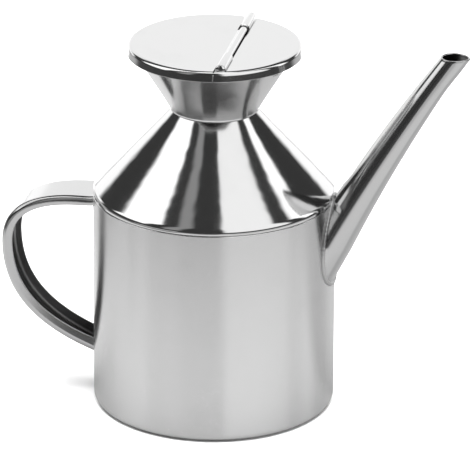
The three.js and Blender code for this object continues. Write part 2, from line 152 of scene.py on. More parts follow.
class LidSizes(bpy.types.PropertyGroup):
    """Sizes of the lid and its hinge."""

    sheet: length("Lid sheet", "Thickness of the lid", 0.5 * MM)
    hem: length("Hem bend", "Outside radius of the bend above the hem", 1.6 * MM)
    hem_depth: length("Hem depth", "From the lid's top down to the hem's edge", 3.5 * MM)
    hem_lean: turn("Hem lean", "How far the hem leans out", 11)
    hem_overhang: length("Hem overhang", "From the funnel's rim out to the hem's edge", 1.6 * MM)
    rim_clearance: length("Rim clearance", "Room between the hem and the funnel's rim", 0.35 * MM)
    slit: length("Slit", "Width of the slits beside the hinge", 0.45 * MM)
    wire: length("Wire", "Radius of the hinge wire", 0.75 * MM)
    wire_clearance: length("Wire clearance", "Room round the wire", 0.05 * MM)
    knuckle_clearance: length("Knuckle clearance", "Room between the curl and the knuckles", 0.1 * MM)
    knuckle_gap: length("Notch gap", "Room between the flap and the knuckles", 0.4 * MM)
    knuckle_spacing: length("Knuckle spacing", "Distance between the two knuckles", 29 * MM)
    knuckle_margin: length("Knuckle margin", "From the knuckle's end to the lid's edge", 1.5 * MM)
    knuckle_end: length("Knuckle end", "Length of the knuckle's closed, rounded end", 0.9 * MM)
    knuckle_ease: length("Knuckle ease", "Depth of the dressed edge at the knuckle's open end", 0.42 * MM)
    knuckle_slope: turn("Knuckle slope", "Slope of the dressed edge", 36)
    tab_gap: length("Tab gap", "Open line between the knuckle's rolled tab and the plate", 0.3 * MM)
    root_fillet: length("Root fillet", "Hollow between the flap and its rolled edge", 1.1 * MM)


class SpoutSizes(bpy.types.PropertyGroup):
    """Sizes of the spout."""

    sheet: length("Spout sheet", "Thickness of the spout", 0.7 * MM)
    foot_drop: length("Foot drop", "From the cup's edge down to the spout's middle line", 13.9 * MM)
    reach: length("Reach", "From the cup's wall to the middle of the mouth", 42 * MM)
    tip_above: length("Tip above lid", "From the lid's top up to the mouth", 1 * MM)
    foot_rise: turn("Foot rise", "Slope of the spout at its foot", 63.1)
    tip_rise: turn("Tip rise", "Slope of the spout at its mouth", 55.9)
    foot_width: length("Foot width", "Width of the oval at the foot", 24 * MM)
    foot_depth: length("Foot depth", "Depth of the oval at the foot", 15.2 * MM)
    tip_width: length("Tip width", "Width of the oval at the mouth", 9 * MM)
    tip_depth: length("Tip depth", "Depth of the oval at the mouth", 8 * MM)
    lip: length("Lip", "How far the pouring lip is drawn out", 0.7 * MM)
    lip_length: length("Lip length", "Length over which the lip is drawn out", 14 * MM)


class HandleSizes(bpy.types.PropertyGroup):
    """Sizes of the channel handle."""

    sheet: length("Handle sheet", "Thickness of the channel", 0.8 * MM)
    top_width: length("Top width", "Width of the channel at its upper end", 18.8 * MM)
    bottom_width: length("Bottom width", "Width of the channel at its lower end", 12.2 * MM)
    top_depth: length("Top depth", "Depth of the channel's sides at its upper end", 3.2 * MM)
    bottom_depth: length("Bottom depth", "Depth of the channel's sides at its lower end", 4.95 * MM)
    side_lean: turn("Side lean", "How far the channel's sides lean in", 14)
    corner: length("Corner", "Outside radius of the channel's corners", 2 * MM)
    reach: length("Reach", "From the cup's wall out to the bend", 33.1 * MM)
    top_drop: length("Top drop", "From the cup's edge down to the upper end", 2.4 * MM)
    top_fall: length("Top fall", "Fall of the curve's first control point", 0.7 * MM)
    top_run: length("Top run", "Distance to the curve's first control point", 3.2 * MM)
    bend_drop: length("Bend drop", "From the upper end down to the outermost point", 20.7 * MM)
    bend_up: length("Bend up", "Pull of the curve above the outermost point", 23.4 * MM)
    bend_down: length("Bend down", "Pull of the curve below the outermost point", 21.7 * MM)
    bottom_height: length("Bottom height", "Height of the lower end", 14.9 * MM)
    bottom_run: length("Bottom run", "Distance to the curve's last control point", 18.9 * MM)
    bottom_climb: length("Bottom climb", "Climb of the curve's last control point", 7.4 * MM)


class WeldSizes(bpy.types.PropertyGroup):
    """Sizes of the weld beads."""

    spout_radius: length("Spout bead", "Radius of the bead round the spout's foot", 0.65 * MM)
    spout_rise: length("Spout rise", "From the sheets to the middle of the spout's bead", 0.25 * MM)
    spout_ripple: length("Spout ripple", "Length of a ripple on the spout's bead", 1.5 * MM)
    spout_depth: share("Spout ripple depth", "Depth of the ripples on the spout's bead", 0.06)
    spout_taper: share("Spout taper", "How far the ends of the spout's bead are drawn in", 0.0)
    handle_radius: length("Handle bead", "Radius of the beads at the handle's ends", 1.1 * MM)
    handle_rise: length("Handle rise", "From the cup to the middle of the handle's beads", 0.5 * MM)
    handle_ripple: length("Handle ripple", "Length of a ripple on the handle's beads", 1.2 * MM)
    handle_depth: share("Handle ripple depth", "Depth of the ripples on the handle's beads", 0.12)
    handle_taper: share("Handle taper", "How far the ends of the handle's beads are drawn in", 1.0)
    tack_radius: length("Tack", "Radius of the lid's tacks", 0.75 * MM)
    tack_rise: length("Tack rise", "How far a tack lies above the middle of its solid", 0.2 * MM)
    tack_reach: length("Tack reach", "From the middle of a tack to its ends", 2 * MM)
    tack_ripple: length("Tack ripple", "Length of a ripple on a tack", 0.9 * MM)
    tack_depth: share("Tack ripple depth", "Depth of the ripples on a tack", 0.16)
    tack_taper: share("Tack taper", "How far the ends of a tack are drawn in", 0.9)


class SteelFinish(bpy.types.PropertyGroup):
    """Tones and polish of the stainless sheets."""

    cup_tone: tone("Cup", "Tone of the satin cup", 0.76)
    mirror_tone: tone("Mirror", "Tone of the polished shoulder and funnel", 0.68)
    lid_tone: tone("Lid", "Tone of the lid", 0.68)
    spout_tone: tone("Spout", "Tone of the spout", 0.53)
    handle_tone: tone("Handle", "Tone of the handle", 0.62)
    weld_tone: tone("Weld", "Tone of the weld beads", 0.5)
    wire_tone: tone("Wire", "Tone of the hinge wire", 0.5)
    # Painted shade: a darker tone for the insides of the handle and spout, standing in for the shade in
    # these hollows.
    inside_painted_shade: tone("Insides", "Tone of the unpolished insides of the handle and spout", 0.24)
    cup_roughness: share("Cup roughness", "Roughness of the satin cup", 0.25)
    mirror_roughness: share("Mirror roughness", "Roughness of the polished sheets", 0.085)
    funnel_roughness: share("Funnel roughness", "Roughness of the brushed funnel", 0.16)
    lid_roughness: share("Lid roughness", "Roughness of the lid", 0.12)
    spout_roughness: share("Spout roughness", "Roughness of the spout", 0.135)
    handle_roughness: share("Handle roughness", "Roughness of the handle", 0.125)
    weld_roughness: share("Weld roughness", "Roughness of the welds", 0.32)
    wire_roughness: share("Wire roughness", "Roughness of the hinge wire", 0.25)


class StudioSettings(bpy.types.PropertyGroup):
    """The studio round the cruet."""

    floor_tone: tone("Floor", "Tone of the pale floor", 0.92)
    # Painted reflection: the table tones colour a darker copy of the floor that only the steel sees, with a
    # painted shaded ring in front.
    table_tone: tone("Table", "Tone of the floor in reflections", 0.255)
    near_tone: tone("Near table", "Tone of the floor close by, in reflections", 0.36)
    dark_tone: tone("Shaded table", "Tone of the floor's shaded ring in front, in reflections", 0.07)
    panel_strength: amount("Panels", "Brightness of the bright panels", 1.65)
    fill_strength: amount("Fill", "Power of the overhead fill", 60.0)
    table_reach: length("Table reach", "How far the pale table runs out at the front", 0.33)
    camera_lens: amount("Lens", "Focal length on a 36 mm sensor", 382.98)


# Node trees


class Wire:
    """One output of a node tree. Arithmetic on it adds Math nodes to the tree."""

    def __init__(self, graph, socket):
        self.graph = graph
        self.socket = socket

    def of(self, name):
        return Wire(self.graph, self.socket.node.outputs[name])

    def math(self, operation, *others):
        return self.graph.math(operation, self, *others)

    def __add__(self, other):
        return self.math("ADD", other)

    def __radd__(self, other):
        return self.graph.math("ADD", other, self)

    def __sub__(self, other):
        return self.math("SUBTRACT", other)

    def __rsub__(self, other):
        return self.graph.math("SUBTRACT", other, self)

    def __mul__(self, other):
        return self.math("MULTIPLY", other)

    def __rmul__(self, other):
        return self.graph.math("MULTIPLY", other, self)

    def __truediv__(self, other):
        return self.math("DIVIDE", other)

    def __rtruediv__(self, other):
        return self.graph.math("DIVIDE", other, self)

    def __pow__(self, other):
        return self.math("POWER", other)

    def __rpow__(self, other):
        return self.graph.math("POWER", other, self)


class Graph:
    """A node tree that is built by expressions."""

    def __init__(self, tree):
        self.tree = tree
        tree.nodes.clear()

    def add(self, kind, settings=None, inputs=None, output=0):
        node = self.tree.nodes.new(kind)
        for key, value in (settings or {}).items():
            setattr(node, key, value)
        for key, value in (inputs or {}).items():
            socket = node.inputs[key]
            if isinstance(value, Wire):
                self.tree.links.new(value.socket, socket)
            else:
                socket.default_value = value
        return Wire(self, node.outputs[output]) if node.outputs else node

    def math(self, operation, *terms):
        return self.add("ShaderNodeMath", {"operation": operation}, dict(enumerate(terms)))

    def split(self, vector):
        parts = self.add("ShaderNodeSeparateXYZ", inputs={0: vector})
        return parts, parts.of("Y"), parts.of("Z")

    def join(self, x, y, z):
        return self.add("ShaderNodeCombineXYZ", inputs={0: x, 1: y, 2: z})

    def noise(self, vector, scale, detail=2.0, roughness=0.5):
        values = {"Vector": vector, "Scale": scale, "Detail": detail, "Roughness": roughness}
        return self.add("ShaderNodeTexNoise", inputs=values)

    def ease(self, value, low, high, from_value=0.0, to_value=1.0):
        """A smooth step from one value to another as the input goes from low to high."""
        values = {0: value, 1: low, 2: high, 3: from_value, 4: to_value}
        return self.add("ShaderNodeMapRange", {"interpolation_type": "SMOOTHSTEP"}, values)

    def band(self, value, rise, fall):
        """One between two smooth edges, each from and to an input, and nought outside them."""
        return self.ease(value, *rise) * self.ease(value, *fall, 1.0, 0.0)

    def attribute(self, name):
        return self.add("ShaderNodeAttribute", {"attribute_name": name}, output="Fac")

    def blend(self, factor, first, second):
        """A mix of two colours."""
        return self.add("ShaderNodeMix", {"data_type": "RGBA"}, {0: factor, 6: first, 7: second}, 2)


class NodeModifier:
    """A geometry tree with named inputs, ready to be put on a piece."""

    def __init__(self, name, sockets):
        self.tree = bpy.data.node_groups.new(name, "GeometryNodeTree")
        self.tree.is_modifier = True
        self.graph = Graph(self.tree)
        self.names = {}
        for socket_name, socket_type in {"Geometry": "NodeSocketGeometry", **sockets}.items():
            socket = self.tree.interface.new_socket(socket_name, in_out="INPUT", socket_type=socket_type)
            self.names[socket_name] = socket.identifier
        self.tree.interface.new_socket("Geometry", in_out="OUTPUT", socket_type="NodeSocketGeometry")
        self.group = self.graph.add("NodeGroupInput")

    def input(self, name):
        return self.group.of(name)

    def end(self, geometry):
        graph = self.graph
        whole = graph.add("GeometryNodeRealizeInstances", inputs={0: geometry})
        painted = graph.add("GeometryNodeSetMaterial", inputs={0: whole, 2: self.input("Material")})
        graph.add("NodeGroupOutput", inputs={0: painted})

    def put_on(self, piece, **values):
        modifier = piece.modifiers.new(self.tree.name, "NODES")
        modifier.node_group = self.tree
        for name, value in values.items():
            modifier[self.names[name]] = value


def turned_modifier():
    """Turns the piece's outline of radius and height about Z."""
    made = NodeModifier(
        "Turned Sheet",
        {
            "Steps": "NodeSocketInt",
            "Points": "NodeSocketInt",
            "Rows": "NodeSocketInt",
            "Material": "NodeSocketMaterial",
        },
    )
    graph = made.graph
    columns = made.input("Steps") + 1
    grid = graph.add("GeometryNodeMeshGrid", inputs={2: made.input("Rows"), 3: columns})
    index = graph.add("GeometryNodeInputIndex")
    row = ((index + 0.5) / columns).math("FLOOR")
    angle = (index - row * columns) / made.input("Steps") * -math.tau
    outline = graph.add(
        "GeometryNodeSampleIndex",
        {"data_type": "FLOAT_VECTOR"},
        {
            0: made.input("Geometry"),
            1: graph.add("GeometryNodeInputPosition"),
            2: row.math("MODULO", made.input("Points")),
        },
    )
    radius, _, height = graph.split(outline)
    place = graph.join(radius * angle.math("COSINE"), radius * angle.math("SINE"), height)
    surface = graph.add("GeometryNodeSetPosition", inputs={0: grid, 2: place})
    made.end(graph.add("GeometryNodeMergeByDistance", inputs={0: surface, 2: MERGE_DISTANCE}))
    return made


# Meshes


def arc(centre, radius, start, end):
    """Points of an arc, both ends included."""
    steps = max(LEAST_ARC_STEPS, math.ceil(abs(end - start) / ARC_STEP))
    angles = np.linspace(start, end, steps + 1)
    return [(centre[0] + radius * math.cos(a), centre[1] + radius * math.sin(a)) for a in angles]


def circle(radius, centre=(0.0, 0.0), steps=CIRCLE_STEPS):
    """Points round a circle, anticlockwise."""
    angles = np.linspace(0, math.tau, steps, endpoint=False)
    return [(centre[0] + radius * math.cos(a), centre[1] + radius * math.sin(a)) for a in angles]


def rounded(corners, closed=False):
    """An outline through corners of (x, y, fillet), with a close point beside each fillet's ends."""
    points = []
    last = len(corners) - 1
    for k, (x, y, fillet) in enumerate(corners):
        if fillet == 0 or (not closed and k in (0, last)):
            points.append((x, y))
            continue
        corner = Vector((x, y))
        back = (Vector(corners[k - 1][:2]) - corner).normalized()
        onward = (Vector(corners[(k + 1) % len(corners)][:2]) - corner).normalized()
        half = back.angle(onward) / 2
        reach = fillet / math.tan(half)
        centre = corner + (back + onward).normalized() * fillet / math.sin(half)
        first = corner + back * reach - centre
        sweep = first.angle_signed(corner + onward * reach - centre)
        start = math.atan2(first.y, first.x)
        beside = min(SUPPORT, fillet / 4)
        points.append(tuple(corner + back * (reach + beside)))
        points.extend(arc(centre, fillet, start, start - sweep))
        points.append(tuple(corner + onward * (reach + beside)))
    return points


def new_piece(name, points=(), edges=(), faces=()):
    mesh = bpy.data.meshes.new(name)
    mesh.from_pydata([tuple(p) for p in points], edges, faces)
    piece = bpy.data.objects.new(name, mesh)
    bpy.context.scene.collection.objects.link(piece)
    return piece


def settle(piece):
    """Turns a piece with modifiers into a plain mesh that is smooth but for its sharp edges."""
    depsgraph = bpy.context.evaluated_depsgraph_get()
    mesh = bpy.data.meshes.new_from_object(piece.evaluated_get(depsgraph))
    rough = piece.data
    piece.modifiers.clear()
    piece.data = mesh
    bpy.data.meshes.remove(rough)
    mesh.name = piece.name
    mesh.shade_smooth()
    mesh.set_sharp_from_angle(angle=SHARP_ANGLE)
    return piece


def turned(name, outline, material, closed=False):
    """A turned piece from an anticlockwise outline of radius and height."""
    count = len(outline)
    edges = [(k, k + 1) for k in range(count - 1)]
    piece = new_piece(name, [(r, 0, z) for r, z in outline], edges)
    rows = count + 1 if closed else count
    turned_modifier().put_on(piece, Steps=TURN_STEPS, Points=count, Rows=rows, Material=material)
    return settle(piece)


def drawn(name, outline, start, end):
    """A straight bar along Y with an anticlockwise outline of x and z."""
    count = len(outline)
    points = [(x, y, z) for y in (start, end) for x, z in outline]
    faces = [tuple(range(count)), tuple(range(2 * count - 1, count - 1, -1))]
    for k in range(count):
        beside = (k + 1) % count
        faces.append((k, k + count, beside + count, beside))
    return new_piece(name, points, (), faces)


def combine(piece, others, operation):
    """Cuts helper pieces from a piece or joins them to it. The helpers are then removed."""
    for other in others:
        modifier = piece.modifiers.new(operation, "BOOLEAN")
        modifier.operation = operation
        modifier.object = other
        modifier.solver = "EXACT"
    settle(piece)
    for other in others:
        mesh = other.data
        bpy.data.objects.remove(other)
        bpy.data.meshes.remove(mesh)
    return piece


def bar_box(name, low, high):
    outline = [(low[0], low[2]), (high[0], low[2]), (high[0], high[2]), (low[0], high[2])]
    return drawn(name, outline, low[1], high[1])


def paint(piece, material):
    piece.data.materials.clear()
    piece.data.materials.append(material)


def fit(piece, body, slot, *nodes):
    """Lets a finished piece ride on its body in place of its nodes."""
    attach(piece, body)
    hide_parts(*nodes)


# Finishes

# How fine the polish lines are, round a turned piece and across its lines, and along and across a straight
# grain. On flat faces of a turned piece a share of the radius counts. The guard keeps the axis defined.
TURNED_AROUND = 12.0
TURNED_ACROSS = 9000.0
GRAIN_ALONG = 60.0
GRAIN_ACROSS = 5000.0
FLAT_SHARE = 0.6
AXIS_GUARD = 1e-9

# Sizes of the waves, smudges and hair scratches, and the noise values between which the marks set in
WAVE_SCALE = 60.0
SMUDGE_SCALE = 70.0
SMUDGE_EDGES = (0.52, 0.72)
HAIR_TURN = (0.5, 0.3, 0.9)
HAIR_SCALE = (3000.0, 120.0, 3000.0)
HAIR_EDGES = (0.74, 0.78)

# What the lines, the marks and a missing polish add to the roughness, and what the marks do to the tone
LINE_DULLNESS = 0.05
SMUDGE_DULLNESS = 0.012
HAIR_DULLNESS = 0.08
INSIDE_DULLNESS = 0.2
SMUDGE_SHADE = 0.25
HAIR_SHADE = 0.3
MARKED_TONE = 0.93

# A quarter turn, which stretches the gloss of a turned piece across its lines
STRETCH_TURN = 0.25

# The handle's sides: how far they are left raw and darkened with painted shade, and from which share of the
# corner on. Its inside, raw and fully darkened with painted shade, begins at a share of the sheet.
SIDE_RAWNESS_AND_SHADE = 0.3
SIDE_START = 0.6
INSIDE_START = 0.6


def opaque(colour, brightness=1.0):
    return (*[part * brightness for part in colour], 1.0)


def turned_grain(graph, place):
    """Coordinates whose noise makes lines round the Z axis."""
    x, y, z = graph.split(place)
    radius = (x * x + y * y + AXIS_GUARD).math("SQRT")
    across = (z + radius * FLAT_SHARE) * TURNED_ACROSS
    return graph.join(x / radius * TURNED_AROUND, y / radius * TURNED_AROUND, across)


def straight_grain(graph, place):
    """Coordinates whose noise makes faint lines along Y."""
    x, y, z = graph.split(place)
    return graph.join(x * GRAIN_ACROSS, y * GRAIN_ALONG, z * GRAIN_ACROSS)


def along_grain(graph, _place):
    """Coordinates whose noise makes lines along the piece, from the lengths kept on its mesh."""
    return graph.join(graph.attribute("along") * GRAIN_ALONG, graph.attribute("across") * GRAIN_ACROSS, 0.0)


def steel(name, colour, roughness, grain, wave, line_depth, anisotropic):
    """Stainless sheet with polish lines, faint waves, smudges, a few hair scratches, and painted shade on
    its raw insides.
    """
    material = bpy.data.materials.new(name)
    material.use_nodes = True
    graph = Graph(material.node_tree)
    place = graph.add("ShaderNodeTexCoord", output="Object")
    lines = graph.noise(grain(graph, place), 1.0, detail=3.0)
    smudges = graph.ease(graph.noise(place, SMUDGE_SCALE, detail=4.0, roughness=0.6), *SMUDGE_EDGES)
    swirl = graph.noise(place, WAVE_SCALE)
    streak = graph.add("ShaderNodeMapping", inputs={0: place, 2: HAIR_TURN, 3: HAIR_SCALE})
    hairs = graph.ease(graph.noise(streak, 1.0, detail=1.0), *HAIR_EDGES)
    unpolished = graph.attribute("unpolished")
    marks = smudges * SMUDGE_SHADE + hairs * HAIR_SHADE
    shade = graph.blend(marks, opaque(colour), opaque(colour, MARKED_TONE))
    # Painted shade: the attribute darkens the tone towards the inside tone, on the insides of the handle
    # and spout and partly on the handle's sides; it also adds roughness.
    shade = graph.blend(unpolished, shade, opaque(bpy.context.scene.cruet_finish.inside_painted_shade))
    dull = roughness + (lines - 0.5) * LINE_DULLNESS + smudges * SMUDGE_DULLNESS + hairs * HAIR_DULLNESS
    dull = dull + unpolished * INSIDE_DULLNESS
    height = swirl * wave + lines * line_depth - hairs * line_depth
    bump = graph.add("ShaderNodeBump", inputs={"Distance": MM, "Height": height, "Strength": 1.0})
    shader = graph.add(
        "ShaderNodeBsdfPrincipled",
        inputs={
            "Base Color": shade,
            "Metallic": 1.0,
            "Roughness": dull,
            "Anisotropic": anisotropic,
            "Anisotropic Rotation": STRETCH_TURN if anisotropic else 0.0,
            "Normal": bump,
        },
    )
    graph.add("ShaderNodeOutputMaterial", inputs={0: shader})
    return material


def stainless(name):
    """One of the stainless finishes, made when it is first asked for."""
    if name in bpy.data.materials:
        return bpy.data.materials[name]
    finish = bpy.context.scene.cruet_finish
    # Tone, roughness, grain, height of waves and depth of lines in millimetres, and stretch of the gloss
    recipes = {
        "Satin Cup": (finish.cup_tone, finish.cup_roughness, turned_grain, 0.006, 0.0003, 1.0),
        "Mirror Sheet": (finish.mirror_tone, finish.mirror_roughness, turned_grain, 0.22, 0.0002, 0.0),
        "Brushed Funnel": (finish.mirror_tone, finish.funnel_roughness, turned_grain, 0.006, 0.0003, 0.0),
        "Lid Sheet": (finish.lid_tone, finish.lid_roughness, straight_grain, 0.004, 0.0002, 0.0),
        "Spout Polish": (finish.spout_tone, finish.spout_roughness, along_grain, 0.006, 0.0002, 0.0),
        "Handle Polish": (finish.handle_tone, finish.handle_roughness, along_grain, 0.005, 0.0002, 0.0),
        "Weld Bead": (finish.weld_tone, finish.weld_roughness, straight_grain, 0.02, 0.0008, 0.0),
        "Drawn Wire": (finish.wire_tone, finish.wire_roughness, straight_grain, 0.002, 0.0003, 0.0),
    }
    return steel(name, *recipes[name])


# Cup, shoulder and funnel


def shoulder_height(size, radius):
    """Height of the shoulder's outer cone at a radius."""
    slope = size.shoulder_slope
    edge_height = size.cup_height + size.seam_gap + size.seam_lip
    tangent_radius = size.cup_radius - size.shoulder_edge * (1 - math.sin(slope))
    tangent_height = edge_height + size.shoulder_edge * math.cos(slope)
    return tangent_height + (tangent_radius - radius) * math.tan(slope)


def bowed(neck, far, draw):
    """Corners of a wall from the neck outward, drawn in towards the axis, most of all near the neck."""
    # The highest value of k * (1 - k) ** 3
    peak = 27 / 256
    corners = []
    for k in np.linspace(0, 1, FLARE_STEPS + 1)[1:-1]:
        radius = neck[0] + (far[0] - neck[0]) * k - draw * k * (1 - k) ** 3 / peak
        corners.append((radius, neck[1] + (far[1] - neck[1]) * k, 0))
    return corners


def make_cup(size, material):
    sheet = size.cup_sheet
    outline = rounded(
        [
            (0.0, 0.0, 0),
            (size.cup_radius, 0.0, size.base_corner),
            (size.cup_radius, size.cup_height, sheet / 3),
            (size.cup_radius - sheet, size.cup_height, sheet / 3),
            (size.cup_radius - sheet, sheet, size.base_corner - sheet),
            (0.0, sheet, 0),
        ]
    )
    cup = turned("cup_shell", outline, material)
    port = drawn("port", circle(size.port_radius), -2 * OVERCUT, OVERCUT)
    middle = (size.cup_radius, 0, size.cup_height - bpy.context.scene.cruet_spout.foot_drop)
    port.data.transform(Matrix.Translation(middle) @ Matrix.Rotation(math.pi / 2, 4, "Z"))
    return combine(cup, [port], "DIFFERENCE")


def make_shoulder(size, material):
    sheet = size.shoulder_sheet
    lip_bottom = size.cup_height + size.seam_gap
    skirt = size.cup_radius - size.cup_sheet - size.nest_clearance
    skirt_bottom = size.cup_height - size.skirt_depth
    sheet_down = sheet / math.cos(size.shoulder_slope)
    inner_neck = size.neck_radius - sheet
    edge_corner = (size.cup_radius, shoulder_height(size, size.cup_radius))
    cone_top = (size.neck_radius, shoulder_height(size, size.neck_radius))
    inner_top = (inner_neck, shoulder_height(size, inner_neck) - sheet_down)
    inner_edge = (skirt - sheet, shoulder_height(size, skirt - sheet) - sheet_down)
    fine = sheet / 5
    outline = rounded(
        [
            (skirt - sheet, skirt_bottom, fine),
            (skirt, skirt_bottom, fine),
            (skirt, lip_bottom, 0),
            (size.cup_radius, lip_bottom, fine),
            (*edge_corner, size.shoulder_edge),
            *bowed(cone_top, edge_corner, size.cone_bow)[::-1],
            (*cone_top, 0),
            (size.neck_radius, COLLAR_HIGH.z, fine),
            (inner_neck, COLLAR_HIGH.z, fine),
            (*inner_top, sheet),
            *bowed(inner_top, inner_edge, size.cone_bow),
            (*inner_edge, sheet),
        ],
        closed=True,
    )
    return turned("shoulder_shell", outline, material, closed=True)


def make_funnel(size, material):
    sheet = size.funnel_sheet
    inside = size.neck_radius + size.nest_clearance
    outside = inside + sheet
    foot = FUNNEL_LOW.z
    bevel = shoulder_height(size, inside) - shoulder_height(size, outside)
    bead = size.funnel_bead
    rim = Vector((FUNNEL_HIGH.x - bead, FUNNEL_HIGH.z - bead))
    flare_foot = Vector((outside, foot + size.funnel_collar))
    lean = math.atan2(rim.x + sheet / 2 - flare_foot.x, rim.y - flare_foot.y)
    across = sheet / math.cos(lean)
    outer_top = (rim.x + across / 2, rim.y)
    inner_top = (rim.x - across / 2, rim.y)
    half = math.acos(min(1.0, across / 2 / bead))
    roll = arc(rim, bead, -half, math.pi + half)
    inner_foot = (inside, flare_foot.y + bevel)
    outline = rounded(
        [
            (inside, foot + bevel, 0),
            (outside, foot, sheet / 4),
            (*flare_foot, 2 * sheet),
            *bowed(flare_foot, outer_top, size.funnel_bow),
            (*outer_top, 0),
            *[(*p, 0) for p in roll[1:-1]],
            (*inner_top, 0),
            *bowed(inner_foot, inner_top, size.funnel_bow)[::-1],
            (*inner_foot, sheet),
        ],
        closed=True,
    )
    return turned("funnel_shell", outline, material, closed=True)


# Lid


class LidPlaces:
    """Radii and heights of the lid that follow from its sizes and the funnel's rim."""

    def __init__(self, size, vessel):
        rim = FUNNEL_HIGH.x
        self.top = HINGE.z - HINGE_RISE
        self.underside = self.top - size.sheet
        self.hem_edge = self.top - size.hem_depth
        self.radius = rim + size.hem_overhang
        self.curl_bore = size.wire + size.wire_clearance
        self.curl = self.curl_bore + size.sheet
        self.knuckle_bore = self.curl + size.knuckle_clearance
        self.knuckle = self.knuckle_bore + size.sheet
        self.knuckle_inner = size.knuckle_spacing / 2
        self.knuckle_outer = math.sqrt(self.radius**2 - HINGE.x**2) - size.knuckle_margin
        self.notch = HINGE.x - self.knuckle - size.knuckle_gap
        self.rim_inside = rim - 2 * vessel.funnel_bead - RIM_RELIEF
        self.far = self.radius + OVERCUT
        self.below = self.underside - OVERCUT
        self.above = self.top + OVERCUT


def lid_disc(name, size, at, material):
    """The whole lid with its turned-down hem, before it is parted."""

    def hem(height, inset):
        lean = size.hem_lean
        return at.radius - (height - at.hem_edge) * math.tan(lean) - inset / math.cos(lean)

    edge = size.sheet / 3
    outline = rounded(
        [
            (0.0, at.underside, 0),
            (hem(at.underside, size.sheet), at.underside, size.hem - size.sheet),
            (hem(at.hem_edge, size.sheet), at.hem_edge, edge),
            (hem(at.hem_edge, 0.0), at.hem_edge, edge),
            (hem(at.top, 0.0), at.top, size.hem),
            (0.0, at.top, 0),
        ]
    )
    return turned(name, outline, material)


def hinge_bar(name, radius, reach):
    """A round bar on the hinge line, as long on both sides."""
    return drawn(name, circle(radius, (HINGE.x, HINGE.z)), -reach, reach)


def onto_hinge(piece, angle):
    """Lays a turned piece along the hinge line."""
    piece.data.transform(Matrix.Translation((HINGE.x, 0, HINGE.z)) @ Matrix.Rotation(angle, 4, "X"))
    return piece


def flap_tongue(at, size):
    """The flap's edge between the knuckles, with the hollow in which it rises into its tube."""
    hollow = size.root_fillet
    drop = HINGE.z - at.top
    lift = hollow - drop
    run = math.sqrt((at.curl - ROOT_SINK + hollow) ** 2 - lift**2)
    sweep = arc((run, lift), hollow, -math.pi / 2, -math.pi + math.atan2(lift, run))
    foot = -drop - size.sheet
    reach = HINGE.x - at.notch + size.sheet
    outline = [(reach, foot), (reach, -drop), *sweep, (0.0, 0.0), (0.0, foot)]
    places = [(HINGE.x - x, HINGE.z + z) for x, z in outline]
    side = at.knuckle_inner - size.knuckle_gap
    return drawn("tongue", places[::-1], -side, side)


def knuckle_barrel(at, size, material, side):
    """A knuckle with a dressed open end and a closed, rounded outer end; side is -1 or 1 along Y."""
    bend = at.knuckle_outer - size.knuckle_end
    bow = arc((0.0, 0.0), 1.0, 0.0, math.pi / 2)
    outline = [
        (0.0, at.knuckle_inner),
        (at.knuckle - size.knuckle_ease, at.knuckle_inner),
        (at.knuckle, at.knuckle_inner + size.knuckle_ease / math.tan(size.knuckle_slope)),
    ]
    outline += [(at.knuckle * x, bend + size.knuckle_end * y) for x, y in bow[:-1]]
    outline.append((0.0, at.knuckle_outer))
    return onto_hinge(turned("knuckle", outline, material), -side * math.pi / 2)


def make_flap(size, vessel, material):
    at = LidPlaces(size, vessel)
    flap = lid_disc("lid_flap_sheet", size, at, material)
    half = bar_box("far_half", (at.notch, -at.far, at.below), (at.far, at.far, at.above))
    combine(flap, [half], "DIFFERENCE")
    combine(flap, [flap_tongue(at, size), hinge_bar("curl", at.curl, WIRE_HIGH.y)], "UNION")
    combine(flap, [hinge_bar("bore", at.curl_bore, at.far)], "DIFFERENCE")
    paint(flap, material)
    return flap


def make_plate(size, vessel, material):
    at = LidPlaces(size, vessel)
    inner = at.knuckle_inner
    plate = lid_disc("lid_plate_sheet", size, at, material)
    near = bar_box("near_half", (-at.far, -at.far, at.below), (at.notch + size.slit, at.far, at.above))
    slot_end = HINGE.x + at.curl + size.slit
    slot = bar_box("slot", (-at.far, -inner, at.below), (slot_end, inner, at.above))
    combine(plate, [near, slot], "DIFFERENCE")
    knuckles = [knuckle_barrel(at, size, material, side) for side in (-1, 1)]
    rim = FUNNEL_HIGH.x + size.rim_clearance
    relief = turned(
        "relief",
        [(at.rim_inside, at.below), (rim, at.below), (rim, at.underside), (at.rim_inside, at.underside)],
        material,
        closed=True,
    )
    combine(knuckles[0], knuckles[1:], "UNION")
    combine(knuckles[0], [relief], "DIFFERENCE")
    combine(plate, [knuckles[0]], "UNION")
    bore = hinge_bar("bore", at.knuckle_bore, WIRE_HIGH.y + size.rim_clearance)
    tab_low = (HINGE.x + (at.knuckle_bore + at.knuckle) / 2, -at.knuckle_outer, at.top - size.tab_gap / 3)
    tab_high = (HINGE.x + at.knuckle + SUPPORT, at.knuckle_outer, at.top + size.tab_gap * 2 / 3)
    combine(plate, [bore, bar_box("tab_gap", tab_low, tab_high)], "DIFFERENCE")
    paint(plate, material)
    return plate


def make_wire(size, material):
    fine = size.wire / 4
    end = WIRE_HIGH.y
    outline = rounded([(0.0, -end, 0), (size.wire, -end, fine), (size.wire, end, fine), (0.0, end, 0)])
    return onto_hinge(turned("hinge_wire_rod", outline, material), math.pi / 2)


# Spout and handle


